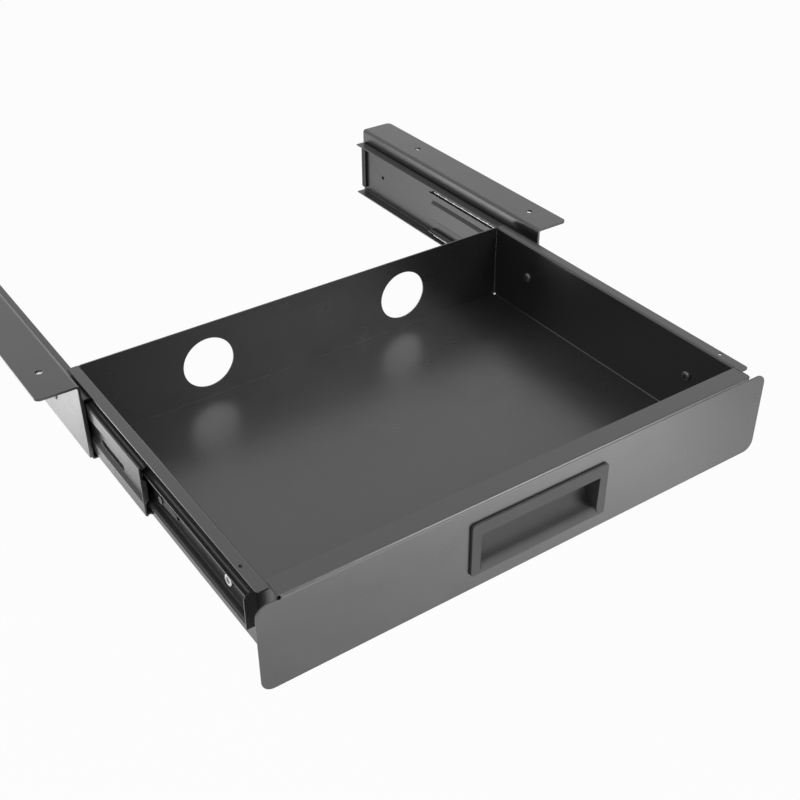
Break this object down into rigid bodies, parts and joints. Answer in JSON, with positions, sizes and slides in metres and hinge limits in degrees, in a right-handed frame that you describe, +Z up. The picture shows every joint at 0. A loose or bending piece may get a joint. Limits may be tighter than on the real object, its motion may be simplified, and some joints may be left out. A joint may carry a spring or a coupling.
{
  "type": "under desk drawer",
  "caption": "Shallow sheet-metal drawer with a recessed handle and cable holes, on telescopic ball-bearing slides and two angle brackets for the underside of a desk.",
  "frame": {"origin": "midway between the two bracket flanges, on the plane of their upper faces, which lies against the desk", "axes": "+Z up towards the desk, -Y the way the drawer pulls out, +X to the right seen from the front"},
  "size_m": [0.48, 0.53, 0.079],
  "materials": {
    "powder_coat": "satin black powder coat",
    "handle_plastic": "fine matte black moulding",
    "slide_coat": "smooth black electro coat",
    "zinc_plate": "bright zinc plate",
    "dark_zinc": "dark zinc plate",
    "ball_steel": "oiled steel",
    "black_plastic": "matte black moulding"
  },
  "bodies": {
    "root": {"left_bracket": "powder_coat", "left_bracket_rivet_1": "powder_coat", "left_bracket_rivet_2": "powder_coat", "left_bracket_rivet_3": "powder_coat", "left_cabinet_slide_member": "slide_coat", "left_closing_buffer": "black_plastic", "right_bracket": "powder_coat", "right_bracket_rivet_1": "powder_coat", "right_bracket_rivet_2": "powder_coat", "right_bracket_rivet_3": "powder_coat", "right_cabinet_slide_member": "slide_coat", "right_closing_buffer": "black_plastic"},
    "drawer": {"drawer_tray": "powder_coat", "front_panel": "powder_coat", "handle_cup": "handle_plastic", "left_drawer_slide_member": "slide_coat", "left_lever_rivet": "zinc_plate", "left_front_slide_screw": "dark_zinc", "left_rear_slide_screw": "dark_zinc", "left_front_clinch_nut": "zinc_plate", "left_rear_clinch_nut": "zinc_plate", "right_drawer_slide_member": "slide_coat", "right_lever_rivet": "zinc_plate", "right_front_slide_screw": "dark_zinc", "right_rear_slide_screw": "dark_zinc", "right_front_clinch_nut": "zinc_plate", "right_rear_clinch_nut": "zinc_plate"},
    "left_middle": {"left_middle_slide_member": "slide_coat"},
    "right_middle": {"right_middle_slide_member": "slide_coat"},
    "left_outer_cage": {"left_outer_ball_cage": "ball_steel"},
    "right_outer_cage": {"right_outer_ball_cage": "ball_steel"},
    "left_inner_cage": {"left_inner_ball_cage": "ball_steel"},
    "right_inner_cage": {"right_inner_ball_cage": "ball_steel"},
    "left_lever": {"left_release_lever": "black_plastic"},
    "right_lever": {"right_release_lever": "black_plastic"}
  },
  "joints": [
    {"name": "drawer_slide", "type": "slide", "parent": "root", "child": "drawer", "axis": [0, 1, 0], "range_m": [0, 0.2485]},
    {"name": "left_middle_slide", "type": "slide", "parent": "root", "child": "left_middle", "axis": [0, 1, 0], "range_m": [0, 0.1165]},
    {"name": "right_middle_slide", "type": "slide", "parent": "root", "child": "right_middle", "axis": [0, 1, 0], "range_m": [0, 0.1165]},
    {"name": "left_outer_cage_slide", "type": "slide", "parent": "root", "child": "left_outer_cage", "axis": [0, 1, 0], "range_m": [0, 0.0583]},
    {"name": "right_outer_cage_slide", "type": "slide", "parent": "root", "child": "right_outer_cage", "axis": [0, 1, 0], "range_m": [0, 0.0583]},
    {"name": "left_inner_cage_slide", "type": "slide", "parent": "root", "child": "left_inner_cage", "axis": [0, 1, 0], "range_m": [0, 0.1826]},
    {"name": "right_inner_cage_slide", "type": "slide", "parent": "root", "child": "right_inner_cage", "axis": [0, 1, 0], "range_m": [0, 0.1826]},
    {"name": "left_release_lever_hinge", "type": "hinge", "parent": "drawer", "child": "left_lever", "pos_m": [-0.198, -0.2383, -0.039], "axis": [1, 0, 0], "range_deg": [0, 10], "stiffness_Nm_per_rad": 0.02},
    {"name": "right_release_lever_hinge", "type": "hinge", "parent": "drawer", "child": "right_lever", "pos_m": [0.198, -0.2383, -0.039], "axis": [1, 0, 0], "range_deg": [-10, 0], "stiffness_Nm_per_rad": 0.02}
  ],
  "couplings": [
    {"joint": "left_middle_slide", "follows": "drawer_slide", "ratio": 0.468},
    {"joint": "right_middle_slide", "follows": "drawer_slide", "ratio": 0.468},
    {"joint": "left_outer_cage_slide", "follows": "drawer_slide", "ratio": 0.234},
    {"joint": "right_outer_cage_slide", "follows": "drawer_slide", "ratio": 0.234},
    {"joint": "left_inner_cage_slide", "follows": "drawer_slide", "ratio": 0.734},
    {"joint": "right_inner_cage_slide", "follows": "drawer_slide", "ratio": 0.734}
  ]
}
